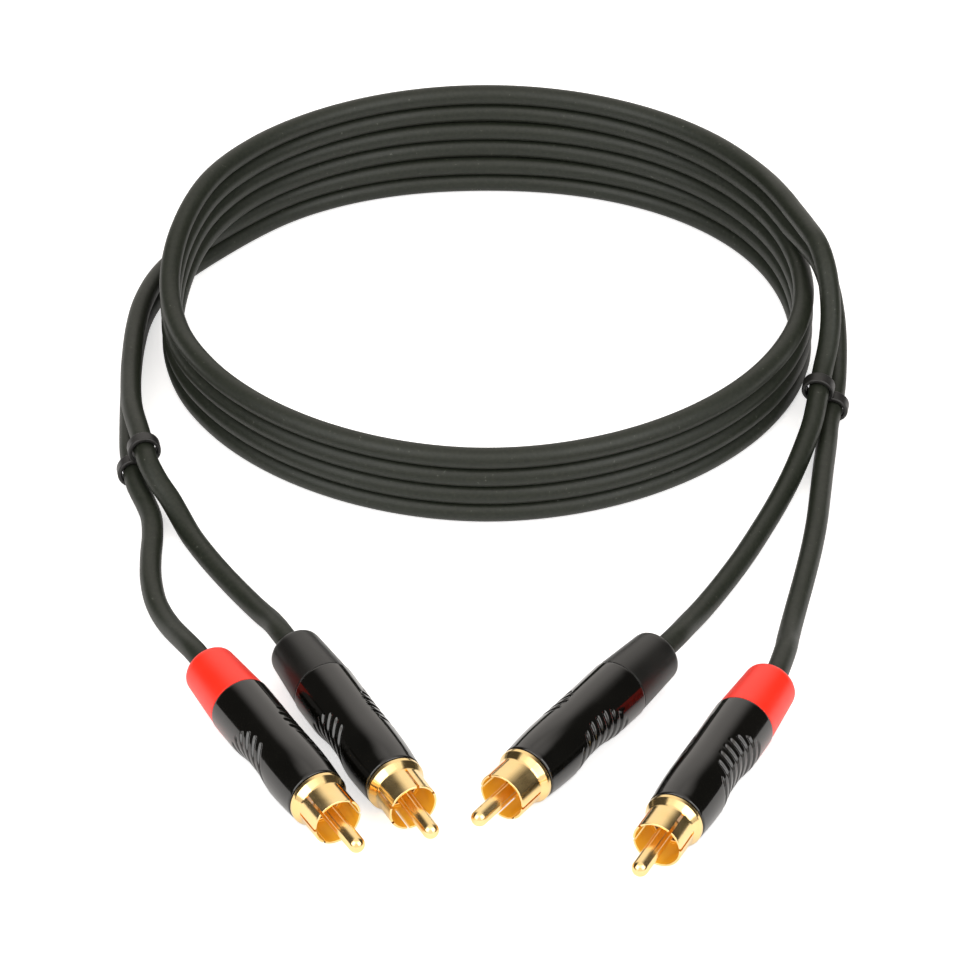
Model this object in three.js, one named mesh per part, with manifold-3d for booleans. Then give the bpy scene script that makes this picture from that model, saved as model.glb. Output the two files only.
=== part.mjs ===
// A twin audio cable with four phono plugs. Two round leads are joined side by side, wound into
// a coil that stands on edge, parted by a clip at each end, and end in a red and a black plug.
// Millimetres, +Z up, the floor at z = 0, the plugs toward -Y.
import * as THREE from "three";
import { mergeVertices } from "three/addons/utils/BufferGeometryUtils.js";
import Module from "manifold-3d";

const wasm = await Module();
wasm.setup();

// Fits
const gap = 0.3; // between pieces that touch or slide

// Leads: two round jackets, one over the other in the coil
const leadDiameter = 4.4;
const leadSides = 8;

// Coil: an oval ring of two whole turns, with half a turn more on its back. All that is laid out
// on the floor grows with its width
const coilWidth = 135.2; // between the middles of the strands
const coilOval = 0.926; // depth to width
const wholeTurns = 2;
const coilCorners = 52;
const halfTurnFrom = 3; // corners of the ring where the extra half turn starts and ends
const halfTurnTo = 25;

// Plug, along its axis from the joint between boot and housing
const housingLength = 30.4;
const housingBackDiameter = 12.1;
const housingHeelDiameter = 12.2;
const housingWaistDiameter = 11.7;
const housingBulgeDiameter = 12.4;
const housingShoulderDiameter = 12.0;
const housingFrontDiameter = 11.4;
const heelAt = 5;
const waistAt = 12.5;
const bulgeAt = 21;
const shoulderAt = 26.5;
const housingBore = 9.4;
const edgeRound = 0.35;

// Grip: slanted grooves down both sides of the housing
const gripGrooves = 6;
const gripStart = 8.6;
const gripPitch = 2.0;
const gripTopAngle = 40; // degrees from the top of the housing
const gripEndAngle = 108;
const gripSlant = 4.6; // how far forward a groove runs as it goes down the side
const gripBow = 9; // degrees by which the middle grooves reach nearer the top
const grooveWidth = 1.05;
const grooveDepth = 0.34;

// Boot
const bootLength = 13.1;
const bootBackDiameter = 10.5;
const bootFrontDiameter = 12.0;
const bootBackRound = 1.3;
const bootSpigotLength = 5.5; // pushed into the housing

// Cable clamp, a slotted sleeve round the lead behind the solder joints
const clampLength = 7.2;
const clampNoseDiameter = 7.4;
const clampSlots = 4;
const clampSlotWidth = 0.8;
const clampSlotLength = 4.6;

// Outer contact, turned from one piece: barrel in the housing, flange, cone and slotted shell
const flangeDiameter = 11.3;
const flangeLength = 0.8;
const coneLength = 1.4; // from the flange down to the shell
const shellDiameter = 9.66;
const shellWall = 0.45;
const shellLength = 5.65;
const shellBottom = 0.1; // solid ring in front of the cone, where the slots end
const sawWidth = 0.55;
const sawAngles = [-142, -90, -43, 38, 89]; // degrees from the top of the shell
const barrelLength = 9.5;
const tagLength = 5.5; // solder tag behind the barrel
const tagWidth = 4.2;
const contactBore = 7.4;

// Centre pin and its insulator
const pinDiameter = 3.2;
const pinProud = 8.6; // past the rim of the shell
const stemDiameter = 2.2;
const collarLength = 0.5; // ring on the stem that holds the insulator from behind
const solderCupLength = 3.2;
const solderCupBore = 1.3;
const solderCupDepth = 2.6;
const insulatorLength = 8.2;
const insulatorLip = 0.5; // how far its front face stands behind the foot of the slots

// Splitter clips, two short rings in one moulding
const clipLength = 2.6;
const clipBore = 5.2;
const clipWall = 0.8;
const clipPitch = 5.7; // between the two bores

const roundCorners = 20;
const innerCorners = 12;

// Places on the floor, and the routes, are drawn for this coil and these leads
const lay = coilWidth / 135.2;
const thickness = leadDiameter / 4.4;
const coilCentreY = 101.2 * lay;

// Each plug: name, joint, heading from -Y toward +X in degrees, turn of its slots
const plugs = [
  { name: "left_red", colour: "red", at: [-46.8, -27.9], heading: 30.3, turn: 0 },
  { name: "left_black", colour: "black", at: [-31.2, -22.9], heading: 27.1, turn: -25 },
  { name: "right_black", colour: "black", at: [24.9, -23.0], heading: -35.7, turn: -124 },
  { name: "right_red", colour: "red", at: [48.0, -33.1], heading: -27.1, turn: -6 },
];

// Each clip: its lower bore on the floor plan, heading, pitch down, and sideways lean to the upper bore
const clips = [
  { name: "left_clip", at: [-72.6, 50.9], heading: 11, pitch: 0, lean: 2.4 },
  { name: "right_clip", at: [72.4, 73.4], heading: -12, pitch: 9, lean: -3.1 },
];

// Routes of the leads that aren't coiled, from the coil through the clip into the plug
const routes = {
  left_red: [
    [-67.9, 125.0, 2.2], [-72.3, 116.5, 2.2], [-74.8, 107.0, 2.2], [-75.6, 98.0, 2.2], [-75.7, 89.5, 2.2],
    [-75.3, 80.0, 2.3], [-74.6, 68.0, 2.8], [-73.7, 57.0, 3.4], [-72.6, 50.9, 3.4], [-71.7, 46.5, 3.1],
    [-69.4, 41.0, 2.2], [-68.0, 36.2, 2.2], [-67.4, 30.0, 2.2], [-67.3, 23.4, 2.2], [-66.8, 16.2, 2.2],
    [-65.4, 9.0, 2.2], [-63.6, 4.0, 2.4], [-61.6, -0.6, 3.2], [-59.2, -5.9, 4.8],
  ],
  left_black: [
    [-67.9, 125.0, 6.8], [-72.1, 116.5, 6.8], [-74.4, 107.0, 6.8], [-75.2, 98.0, 6.8], [-75.3, 89.5, 6.8],
    [-75.0, 80.0, 6.9], [-73.9, 68.0, 7.6], [-71.5, 57.0, 8.5], [-70.2, 51.4, 8.6], [-69.1, 46.9, 8.3],
    [-66.6, 42.2, 6.5], [-64.4, 39.1, 5.1], [-62.0, 34.8, 3.5], [-59.8, 30.4, 2.5], [-56.5, 24.3, 2.2],
    [-51.9, 16.5, 2.2], [-46.9, 8.8, 2.3], [-44.4, 4.6, 2.9], [-42.0, -0.1, 4.3],
  ],
  right_red: [
    [64.0, 121.4, 20.2], [65.7, 116.8, 20.2], [68.7, 109.9, 20.2], [71.2, 103.2, 19.8], [72.8, 98.2, 17.2],
    [73.7, 93.5, 13.8], [74.0, 88.5, 10.3], [73.8, 83.5, 7.2], [73.3, 78.5, 4.6], [72.4, 73.4, 3.6],
    [71.2, 67.8, 2.8], [70.5, 62.3, 2.2], [69.1, 52.7, 2.2], [67.9, 44.0, 2.2], [66.6, 35.0, 2.2],
    [64.9, 25.8, 2.2], [62.8, 16.2, 2.2], [60.6, 6.8, 2.2], [59.4, 1.4, 2.5], [58.3, -4.2, 3.4],
    [57.4, -9.6, 4.9],
  ],
  right_black: [
    [64.0, 121.4, 24.8], [65.7, 116.8, 24.8], [68.2, 109.9, 24.8], [70.4, 103.2, 24.6], [71.7, 98.2, 22.5],
    [72.4, 93.5, 19.3], [72.5, 88.5, 15.8], [71.8, 83.5, 12.4], [70.5, 78.5, 9.6], [69.4, 73.1, 8.3],
    [68.4, 67.9, 7.3], [67.3, 63.3, 6.0], [65.8, 58.7, 4.9], [64.0, 53.8, 3.7], [61.7, 47.9, 2.7],
    [58.6, 40.3, 2.2], [55.2, 32.3, 2.2], [51.6, 24.3, 2.2], [47.7, 16.5, 2.2], [43.6, 8.8, 2.4],
    [41.2, 4.1, 3.0], [38.9, -0.9, 4.3],
  ],
};
const leadSteps = { left_red: 17, left_black: 17, right_red: 20, right_black: 20 };
const leadStraight = 6; // of lead in line with the plug behind its boot

// Sizes that follow from those above
const coilHalfWidth = coilWidth / 2;
const coilHalfDepth = coilHalfWidth * coilOval;
const pairHeight = 2 * leadDiameter;
const leadRadius = leadDiameter / 2;
const leadBore = leadDiameter + 2 * gap;
const axisHeight = housingBulgeDiameter / 2; // the plug lies on its bulge
const flangeAt = housingLength + gap / 2;
const coneAt = flangeAt + flangeLength;
const shellAt = coneAt + coneLength;
const rimAt = shellAt + shellLength;
const pinTipAt = rimAt + pinProud;
const spigotDiameter = housingBore - 2 * gap;
const clampAt = bootSpigotLength + gap;
const insulatorFrontAt = shellAt - insulatorLip;
const leadEndAt = clampAt + clampLength;
const ringHeight = wholeTurns * pairHeight;

const materials = {
  red: new THREE.MeshStandardMaterial({ color: 0xf5331f, roughness: 0.55, metalness: 0 }),
  black: new THREE.MeshStandardMaterial({ color: 0x1d1c1a, roughness: 0.6, metalness: 0 }),
  gloss: new THREE.MeshStandardMaterial({ color: 0x0c0b0a, roughness: 0.18, metalness: 0 }),
  gold: new THREE.MeshStandardMaterial({ color: 0xe8b75c, roughness: 0.16, metalness: 1 }),
  white: new THREE.MeshStandardMaterial({ color: 0xe6dfcf, roughness: 0.5, metalness: 0 }),
  nylon: new THREE.MeshStandardMaterial({ color: 0x2a2a28, roughness: 0.5, metalness: 0 }),
  jacket: new THREE.MeshStandardMaterial({ color: 0x2b2b29, roughness: 0.65, metalness: 0 }),
};

const radians = THREE.MathUtils.degToRad;

// Solids and meshes

function toSolid(geometry) {
  geometry.deleteAttribute("normal");
  geometry.deleteAttribute("uv");
  const merged = mergeVertices(geometry, 1e-4);
  const index = merged.index.array;
  const kept = [];
  for (let i = 0; i < index.length; i += 3) {
    const [a, b, c] = [index[i], index[i + 1], index[i + 2]];
    if (a !== b && b !== c && c !== a) {
      kept.push(a, b, c);
    }
  }
  const mesh = new wasm.Mesh({
    numProp: 3,
    vertProperties: Float32Array.from(merged.attributes.position.array),
    triVerts: Uint32Array.from(kept),
  });
  return new wasm.Manifold(mesh);
}

function toGeometry(solid) {
  const mesh = solid.getMesh();
  const geometry = new THREE.BufferGeometry();
  geometry.setAttribute("position", new THREE.Float32BufferAttribute(mesh.vertProperties, 3));
  geometry.setIndex(Array.from(mesh.triVerts));
  geometry.computeVertexNormals();
  return geometry;
}

function named(name, geometry, material) {
  const mesh = new THREE.Mesh(geometry, material);
  mesh.name = name;
  return mesh;
}

// A turned form about the plug's axis, from [along, diameter] pairs
function turned(section, corners) {
  const points = section.map(([along, diameter]) => new THREE.Vector2(diameter / 2, along));
  const geometry = new THREE.LatheGeometry(points, corners);
  geometry.rotateX(Math.PI / 2);
  return geometry;
}

// A turned form with a bore: out along the outside and back along the inside
function turnedSleeve(outside, inside, corners) {
  return turned([...outside, ...inside.slice().reverse(), outside[0]], corners);
}

// A quarter round between two points of a section, bulging outward
function rounded(fromAlong, toAlong, fromDiameter, toDiameter, steps) {
  const points = [];
  for (let i = 0; i <= steps; i += 1) {
    const angle = (i / steps) * (Math.PI / 2);
    const rising = toDiameter > fromDiameter;
    const along = rising ? 1 - Math.cos(angle) : Math.sin(angle);
    const across = rising ? Math.sin(angle) : 1 - Math.cos(angle);
    points.push([
      fromAlong + (toAlong - fromAlong) * along,
      fromDiameter + (toDiameter - fromDiameter) * across,
    ]);
  }
  return points;
}

function regularPolygon(radius, sides) {
  const points = [];
  for (let i = 0; i < sides; i += 1) {
    const angle = (2 * Math.PI * (i + 0.5)) / sides;
    points.push(new THREE.Vector2(radius * Math.cos(angle), radius * Math.sin(angle)));
  }
  return new THREE.Shape(points);
}

function swept(points, radius, sides, steps) {
  const path = new THREE.CatmullRomCurve3(points, false, "centripetal");
  return new THREE.ExtrudeGeometry(regularPolygon(radius, sides), {
    steps,
    bevelEnabled: false,
    extrudePath: path,
  });
}

// Housing

const housingOutside = [
  [gap / 2, housingBackDiameter],
  [heelAt, housingHeelDiameter],
  [waistAt, housingWaistDiameter],
  [(waistAt + bulgeAt) / 2, (housingWaistDiameter + housingBulgeDiameter) / 2],
  [bulgeAt, housingBulgeDiameter],
  [shoulderAt, housingShoulderDiameter],
];

function housingDiameterAt(along) {
  for (let i = 1; i < housingOutside.length; i += 1) {
    const [a, da] = housingOutside[i - 1];
    const [b, db] = housingOutside[i];
    if (along <= b) {
      return da + ((db - da) * (along - a)) / (b - a);
    }
  }
  return housingFrontDiameter;
}

function gripGroove(i, side) {
  const middle = (gripGrooves - 1) / 2;
  const bow = gripBow * (1 - ((i - middle) / middle) ** 2);
  const from = gripTopAngle - bow;
  const cutterRadius = grooveWidth / 2;
  const points = [];
  const count = 5;
  for (let k = 0; k < count; k += 1) {
    const t = k / (count - 1);
    const along = gripStart + i * gripPitch + gripSlant * t * t;
    const angle = radians(from + (gripEndAngle - from) * t) * side;
    const atEnd = k === 0 || k === count - 1;
    const lift = atEnd ? cutterRadius : 0; // both ends run out of the surface
    const radius = housingDiameterAt(along) / 2 - grooveDepth + cutterRadius + lift;
    points.push(new THREE.Vector3(radius * Math.sin(angle), radius * Math.cos(angle), along));
  }
  return toSolid(swept(points, cutterRadius, 4, 3));
}

function housingSolid() {
  const front = rounded(
    housingLength - gap / 2 - edgeRound,
    housingLength - gap / 2,
    housingFrontDiameter,
    housingFrontDiameter - 2 * edgeRound,
    2,
  );
  const inside = [
    [gap / 2, housingBore],
    [housingLength - gap / 2, housingBore],
  ];
  let solid = toSolid(turnedSleeve([...housingOutside, ...front], inside, roundCorners));
  for (const side of [-1, 1]) {
    for (let i = 0; i < gripGrooves; i += 1) {
      solid = solid.subtract(gripGroove(i, side));
    }
  }
  return solid;
}

// Boot

function bootGeometry() {
  const back = rounded(
    -bootLength,
    -bootLength + bootBackRound,
    bootBackDiameter - 2 * bootBackRound,
    bootBackDiameter,
    2,
  );
  const outside = [
    ...back,
    [-gap / 2, bootFrontDiameter],
    [-gap / 2, spigotDiameter],
    [bootSpigotLength, spigotDiameter],
  ];
  const inside = [
    [-bootLength, leadBore],
    [bootSpigotLength, leadBore],
  ];
  return turnedSleeve(outside, inside, roundCorners);
}

// Cable clamp

function clampSolid() {
  const outside = [
    [clampAt, spigotDiameter],
    [clampAt + clampLength - clampSlotLength, spigotDiameter],
    [clampAt + clampLength, clampNoseDiameter],
  ];
  const inside = [
    [clampAt, leadBore],
    [clampAt + clampLength, leadBore],
  ];
  let solid = toSolid(turnedSleeve(outside, inside, innerCorners));
  for (let i = 0; i < clampSlots / 2; i += 1) {
    const cutter = new THREE.BoxGeometry(clampSlotWidth, spigotDiameter * 2, clampSlotLength);
    cutter.translate(0, 0, clampAt + clampLength - clampSlotLength / 2 + gap);
    cutter.rotateZ((2 * Math.PI * i) / clampSlots);
    solid = solid.subtract(toSolid(cutter));
  }
  return solid;
}

// Outer contact

function contactBody() {
  const outside = [
    [flangeAt - barrelLength - tagLength, spigotDiameter],
    [flangeAt, spigotDiameter],
    [flangeAt, flangeDiameter],
    [coneAt, flangeDiameter],
    [shellAt, shellDiameter],
    [rimAt, shellDiameter],
  ];
  const inside = [
    [flangeAt - barrelLength - tagLength, contactBore],
    [insulatorFrontAt, contactBore],
    [insulatorFrontAt, shellDiameter - 2 * shellWall],
    [rimAt, shellDiameter - 2 * shellWall],
  ];
  return toSolid(turnedSleeve(outside, inside, roundCorners));
}

function sawCutters() {
  const length = shellLength - shellBottom + gap;
  return sawAngles.map((angle) => {
    const cutter = new THREE.BoxGeometry(sawWidth, shellDiameter, length);
    cutter.translate(0, shellDiameter / 2, rimAt + gap - length / 2);
    cutter.rotateZ(radians(-angle));
    return toSolid(cutter);
  });
}

// What is left behind the barrel is one tag for the screen's solder joint
function tagCutters() {
  const length = tagLength + gap;
  const reach = spigotDiameter;
  const at = flangeAt - barrelLength - tagLength - gap + length / 2;
  const above = new THREE.BoxGeometry(2 * reach, reach, length);
  above.translate(0, reach / 2 - contactBore / 4, at);
  const cutters = [above];
  for (const side of [-1, 1]) {
    const beside = new THREE.BoxGeometry(reach, 2 * reach, length);
    beside.translate(side * (tagWidth / 2 + reach / 2), 0, at);
    cutters.push(beside);
  }
  return cutters.map(toSolid);
}

function contactSolid() {
  let solid = contactBody();
  for (const cutter of [...sawCutters(), ...tagCutters()]) {
    solid = solid.subtract(cutter);
  }
  return solid;
}

// Insulator and pin

function insulatorGeometry() {
  const outside = [
    [insulatorFrontAt - insulatorLength, contactBore - 2 * gap],
    [insulatorFrontAt - gap, contactBore - 2 * gap],
  ];
  const inside = [
    [insulatorFrontAt - insulatorLength, stemDiameter + 2 * gap],
    [insulatorFrontAt - gap, stemDiameter + 2 * gap],
  ];
  return turnedSleeve(outside, inside, innerCorners);
}

function pinGeometry() {
  const backAt = insulatorFrontAt - insulatorLength;
  const cupAt = backAt - gap - collarLength - solderCupLength;
  const tip = rounded(pinTipAt - pinDiameter / 2, pinTipAt, pinDiameter, 0, 3);
  const section = [
    [cupAt + solderCupDepth, 0],
    [cupAt + solderCupDepth, solderCupBore],
    [cupAt, solderCupBore],
    [cupAt, stemDiameter],
    [backAt - gap - collarLength, stemDiameter],
    [backAt - gap - collarLength, pinDiameter],
    [backAt - gap, pinDiameter],
    [backAt - gap, stemDiameter],
    [insulatorFrontAt, stemDiameter],
    [insulatorFrontAt, pinDiameter],
    ...tip,
  ];
  return turned(section, innerCorners);
}

// Plug

function plugGroup(plug) {
  const group = new THREE.Group();
  const shared = plugGroup.shared ?? (plugGroup.shared = {
    housing: toGeometry(housingSolid()),
    boot: bootGeometry(),
    clamp: toGeometry(clampSolid()),
    contact: toGeometry(contactSolid()),
    insulator: insulatorGeometry(),
    pin: pinGeometry(),
  });
  group.add(named(`${plug.name}_housing`, shared.housing, materials.gloss));
  group.add(named(`${plug.name}_boot`, shared.boot, materials[plug.colour]));
  group.add(named(`${plug.name}_cable_clamp`, shared.clamp, materials.nylon));
  group.add(named(`${plug.name}_insulator`, shared.insulator, materials.white));
  group.add(named(`${plug.name}_centre_pin`, shared.pin, materials.gold));
  const contact = named(`${plug.name}_outer_contact`, shared.contact, materials.gold);
  contact.rotation.z = radians(-plug.turn);
  group.add(contact);
  group.position.set(plug.at[0] * lay, plug.at[1] * lay, axisHeight);
  group.rotation.set(Math.PI / 2, 0, radians(plug.heading), "ZXY");
  return group;
}

function headingOf(plug) {
  const angle = radians(plug.heading);
  return new THREE.Vector3(Math.sin(angle), -Math.cos(angle), 0);
}

// Clip, extruded along the leads: two rings round bores that stand one over the other

function clipGeometry(rise, lean) {
  const outer = clipBore / 2 + clipWall;
  const toUpper = Math.atan2(rise, lean);
  const waist = Math.acos(clipPitch / 2 / outer);
  const outline = new THREE.Shape();
  outline.absarc(0, 0, outer, toUpper + waist, toUpper - waist + 2 * Math.PI, false);
  outline.absarc(lean, rise, outer, toUpper - Math.PI + waist, toUpper + Math.PI - waist, false);
  for (const [x, y] of [[0, 0], [lean, rise]]) {
    const bore = new THREE.Path();
    bore.absarc(x, y, clipBore / 2, 0, 2 * Math.PI, true);
    outline.holes.push(bore);
  }
  const geometry = new THREE.ExtrudeGeometry(outline, {
    depth: clipLength,
    bevelEnabled: false,
    curveSegments: 8,
  });
  geometry.translate(0, 0, -clipLength / 2);
  return geometry;
}

function clipMesh(clip) {
  const rise = Math.sqrt(clipPitch ** 2 - clip.lean ** 2);
  const mesh = named(clip.name, clipGeometry(rise, clip.lean), materials.black);
  const pitch = radians(clip.pitch);
  const height = (clipBore / 2 + clipWall) * Math.cos(pitch) + (clipLength / 2) * Math.sin(pitch);
  mesh.position.set(clip.at[0] * lay, clip.at[1] * lay, height);
  mesh.rotation.set(Math.PI / 2 + pitch, 0, radians(clip.heading), "ZXY");
  return mesh;
}

// Leads between coil and plug

function leadMesh(plug) {
  const points = routes[plug.name].map(([x, y, z]) => new THREE.Vector3(x * lay, y * lay, z * thickness));
  const heading = headingOf(plug);
  const joint = new THREE.Vector3(plug.at[0] * lay, plug.at[1] * lay, axisHeight);
  for (const along of [-bootLength - leadStraight, -bootLength, -bootLength / 2, 0, leadEndAt]) {
    points.push(joint.clone().addScaledVector(heading, along));
  }
  const geometry = swept(points, leadRadius, leadSides, leadSteps[plug.name]);
  return named(`${plug.name}_lead`, geometry, materials.jacket);
}

// Coil

function ovalPoints(offset, from, to) {
  const points = [];
  for (let i = from; i <= to; i += 1) {
    const angle = (2 * Math.PI * i) / coilCorners;
    const x = (coilHalfWidth + offset) * Math.cos(angle);
    const y = (coilHalfDepth + offset) * Math.sin(angle);
    points.push(new THREE.Vector2(x, y));
  }
  return points;
}

function coilGeometry() {
  const ring = new THREE.Shape(ovalPoints(leadRadius, 0, coilCorners - 1));
  ring.holes.push(new THREE.Path(ovalPoints(-leadRadius, 0, coilCorners - 1).reverse()));
  const whole = new THREE.ExtrudeGeometry(ring, { depth: ringHeight, bevelEnabled: false });
  const back = new THREE.Shape([
    ...ovalPoints(leadRadius, halfTurnFrom, halfTurnTo),
    ...ovalPoints(-leadRadius, halfTurnFrom, halfTurnTo).reverse(),
  ]);
  const half = new THREE.ExtrudeGeometry(back, { depth: ringHeight + pairHeight, bevelEnabled: false });
  return toGeometry(toSolid(whole).add(toSolid(half)));
}

const group = new THREE.Group();
for (const plug of plugs) {
  group.add(plugGroup(plug));
  group.add(leadMesh(plug));
}
for (const clip of clips) {
  group.add(clipMesh(clip));
}
const coil = named("coiled_leads", coilGeometry(), materials.jacket);
coil.position.y = coilCentreY;
group.add(coil);

export default group;
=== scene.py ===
# The look of a twin audio cable with four phono plugs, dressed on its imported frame. Two round leads
# lie one over the other in a coil, part at a clip on each side, and end in red and black plugs.
# Routes and places are in metres; a plug's own sizes are in millimetres along its axis.
import math

import bmesh
import bpy
from mathutils import Matrix, Vector
from mathutils.geometry import interpolate_bezier


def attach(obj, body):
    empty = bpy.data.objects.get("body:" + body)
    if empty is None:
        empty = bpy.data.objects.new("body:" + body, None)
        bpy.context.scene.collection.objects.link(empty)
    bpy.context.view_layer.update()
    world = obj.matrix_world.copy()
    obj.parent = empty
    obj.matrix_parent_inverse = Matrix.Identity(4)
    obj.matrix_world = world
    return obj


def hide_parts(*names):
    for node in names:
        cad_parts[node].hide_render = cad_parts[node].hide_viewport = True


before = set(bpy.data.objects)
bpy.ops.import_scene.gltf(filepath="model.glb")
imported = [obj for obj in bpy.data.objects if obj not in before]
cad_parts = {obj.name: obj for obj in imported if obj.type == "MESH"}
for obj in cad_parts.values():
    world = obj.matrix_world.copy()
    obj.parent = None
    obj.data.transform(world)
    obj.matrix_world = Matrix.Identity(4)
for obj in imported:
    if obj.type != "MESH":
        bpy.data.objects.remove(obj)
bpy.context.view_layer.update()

MM = 0.001

# Leads
LEAD_DIAMETER = 0.0044
LEAD_SIDES = 20
LEAD_STEP = 0.0016

# Coil, an oval that is walked in passes of half a turn
COIL_CENTRE = (0.0, 0.1012)
COIL_HALF_WIDTH = 0.0676
COIL_START = 28  # degrees from +X, toward the back
COIL_END = 866
COIL_STEP = 14
STEP_DOWN = 0.0088  # by which a pair comes down at the left wall, one turn lower
DOWN_FROM, DOWN_TO = 147, 197  # degrees, where it does so
# each pass: half depth of the oval, how square its corners are
PASSES = (
    (0.0642, 2.00),
    (0.0625, 1.92),
    (0.0634, 2.08),
    (0.0625, 1.92),
    (0.0626, 2.17),
)
UPPER_TOP = 0.0242  # the upper lead's height in the top pair
LOWER_TOP = UPPER_TOP - LEAD_DIAMETER

# Plugs: colour, joint of boot and housing, heading from -Y toward +X, roll of the smooth strip and of
# the slots, in degrees
AXIS_HEIGHT = 0.0062
PLUGS = {
    "left_red": ("red", (-0.0468, -0.0279), 30.3, -9.0, 0.0),
    "left_black": ("black", (-0.0312, -0.0229), 27.1, -5.0, -25.0),
    "right_black": ("black", (0.0249, -0.0230), -35.7, 11.0, -124.0),
    "right_red": ("red", (0.0480, -0.0331), -27.1, -12.0, -6.0),
}
# along a plug's axis, from its joint toward the tip
LEAD_STRAIGHT_FROM = -0.0191  # a lead comes straight into its boot from here
BENT_AT_BOOT = "right_red"  # but this plug's lead, which bends where it comes out
BOOT_BACK = -0.0131
BOOT_MIDDLE = -0.0066
LEAD_END = 0.013

# Routes from the coil to the plugs
TAILS = {
    "left_red": [
        (-0.0679, 0.1250, 0.0022), (-0.0723, 0.1165, 0.0022), (-0.0748, 0.1070, 0.0022),
        (-0.0756, 0.0980, 0.0022), (-0.0757, 0.0895, 0.0022), (-0.0753, 0.0800, 0.0023),
        (-0.0746, 0.0680, 0.0028), (-0.0737, 0.0570, 0.0034), (-0.0726, 0.0509, 0.0034),
        (-0.0717, 0.0465, 0.0031), (-0.0694, 0.0410, 0.0022), (-0.0680, 0.0362, 0.0022),
        (-0.0674, 0.0300, 0.0022), (-0.0673, 0.0234, 0.0022), (-0.0668, 0.0162, 0.0022),
        (-0.0654, 0.0090, 0.0022), (-0.0636, 0.0040, 0.0024), (-0.0616, -0.0006, 0.0032),
        (-0.0592, -0.0059, 0.0048),
    ],
    "left_black": [
        (-0.0679, 0.1250, 0.0068), (-0.0721, 0.1165, 0.0068), (-0.0744, 0.1070, 0.0068),
        (-0.0752, 0.0980, 0.0068), (-0.0753, 0.0895, 0.0068), (-0.0750, 0.0800, 0.0069),
        (-0.0739, 0.0680, 0.0076), (-0.0715, 0.0570, 0.0085), (-0.0702, 0.0514, 0.0086),
        (-0.0691, 0.0469, 0.0083), (-0.0666, 0.0422, 0.0065), (-0.0644, 0.0391, 0.0051),
        (-0.0620, 0.0348, 0.0035), (-0.0598, 0.0304, 0.0025), (-0.0565, 0.0243, 0.0022),
        (-0.0519, 0.0165, 0.0022), (-0.0469, 0.0088, 0.0023), (-0.0444, 0.0046, 0.0029),
        (-0.0420, -0.0001, 0.0043),
    ],
    "right_red": [
        (0.0640, 0.1214, 0.0202), (0.0657, 0.1168, 0.0202), (0.0687, 0.1099, 0.0202),
        (0.0712, 0.1032, 0.0198), (0.0728, 0.0982, 0.0172), (0.0737, 0.0935, 0.0138),
        (0.0740, 0.0885, 0.0103), (0.0738, 0.0835, 0.0072), (0.0733, 0.0785, 0.0046),
        (0.0724, 0.0734, 0.0036), (0.0712, 0.0678, 0.0028), (0.0705, 0.0623, 0.0022),
        (0.0691, 0.0527, 0.0022), (0.0679, 0.0440, 0.0022), (0.0666, 0.0350, 0.0022),
        (0.0649, 0.0258, 0.0022), (0.0628, 0.0162, 0.0022), (0.0606, 0.0068, 0.0022),
        (0.0594, 0.0014, 0.0025), (0.0583, -0.0042, 0.0034), (0.0574, -0.0096, 0.0049),
    ],
    "right_black": [
        (0.0640, 0.1214, 0.0248), (0.0657, 0.1168, 0.0248), (0.0682, 0.1099, 0.0248),
        (0.0704, 0.1032, 0.0246), (0.0717, 0.0982, 0.0225), (0.0724, 0.0935, 0.0193),
        (0.0725, 0.0885, 0.0158), (0.0718, 0.0835, 0.0124), (0.0705, 0.0785, 0.0096),
        (0.0694, 0.0731, 0.0083), (0.0684, 0.0679, 0.0073), (0.0673, 0.0633, 0.0060),
        (0.0658, 0.0587, 0.0049), (0.0640, 0.0538, 0.0037), (0.0617, 0.0479, 0.0027),
        (0.0586, 0.0403, 0.0022), (0.0552, 0.0323, 0.0022), (0.0516, 0.0243, 0.0022),
        (0.0477, 0.0165, 0.0022), (0.0436, 0.0088, 0.0024), (0.0412, 0.0041, 0.0030),
        (0.0389, -0.0009, 0.0043),
    ],
}

# Clips: lower bore, heading, pitch down, lean of the upper bore to the side
CLIPS = {
    "left_clip": ((-0.0726, 0.0509), 11, 0, 2.4),
    "right_clip": ((0.0724, 0.0734), -12, 9, -3.1),
}
CLIP_LENGTH = 2.6
CLIP_BORE = 5.0
CLIP_OUTER = 6.8
CLIP_PITCH = 5.7
CLIP_ROUND = 0.3
CLIP_SIDES = 40


# Materials

# A map on the gold pieces: along the axis, then round it, with the faces inside a shell shifted along
AXIS_MAP = "along_axis"
MAP_LENGTH = 50
MAP_TURN = 7
INSIDE_SHIFT = 2
INSIDE_FROM = 1.5  # a place this far along the map is inside a shell
INSIDE_RADII = (3.8, 4.42)  # in millimetres, between which the shell's inner wall lies
# painted light: the deeper orange on the shell's inner wall, with lower metal so that it shows partly
# matte, stands in for light bounced round inside the shell
INSIDE_PAINTED_BOUNCE_GOLD = (1.0, 0.60, 0.05)
INSIDE_ROUGH = 0.28
INSIDE_METALLIC = 0.25

JACKET_DARK = (0.0105, 0.0135, 0.0085)
JACKET_LIGHT = (0.016, 0.019, 0.0125)
JACKET_SPECK_EDGE = (0.015, 0.018, 0.0115)
JACKET_SPECK = (0.056, 0.060, 0.051)


def principled(name, colour, roughness, metallic=0.0):
    material = bpy.data.materials.new(name)
    material.use_nodes = True
    shader = material.node_tree.nodes["Principled BSDF"]
    shader.inputs["Base Color"].default_value = (*colour, 1)
    shader.inputs["Roughness"].default_value = roughness
    shader.inputs["Metallic"].default_value = metallic
    return material, shader


def noise(material, scale, detail=3.0):
    nodes = material.node_tree.nodes
    place = nodes.new("ShaderNodeTexCoord")
    texture = nodes.new("ShaderNodeTexNoise")
    texture.inputs["Scale"].default_value = scale
    texture.inputs["Detail"].default_value = detail
    material.node_tree.links.new(place.outputs["Object"], texture.inputs["Vector"])
    return texture


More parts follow.
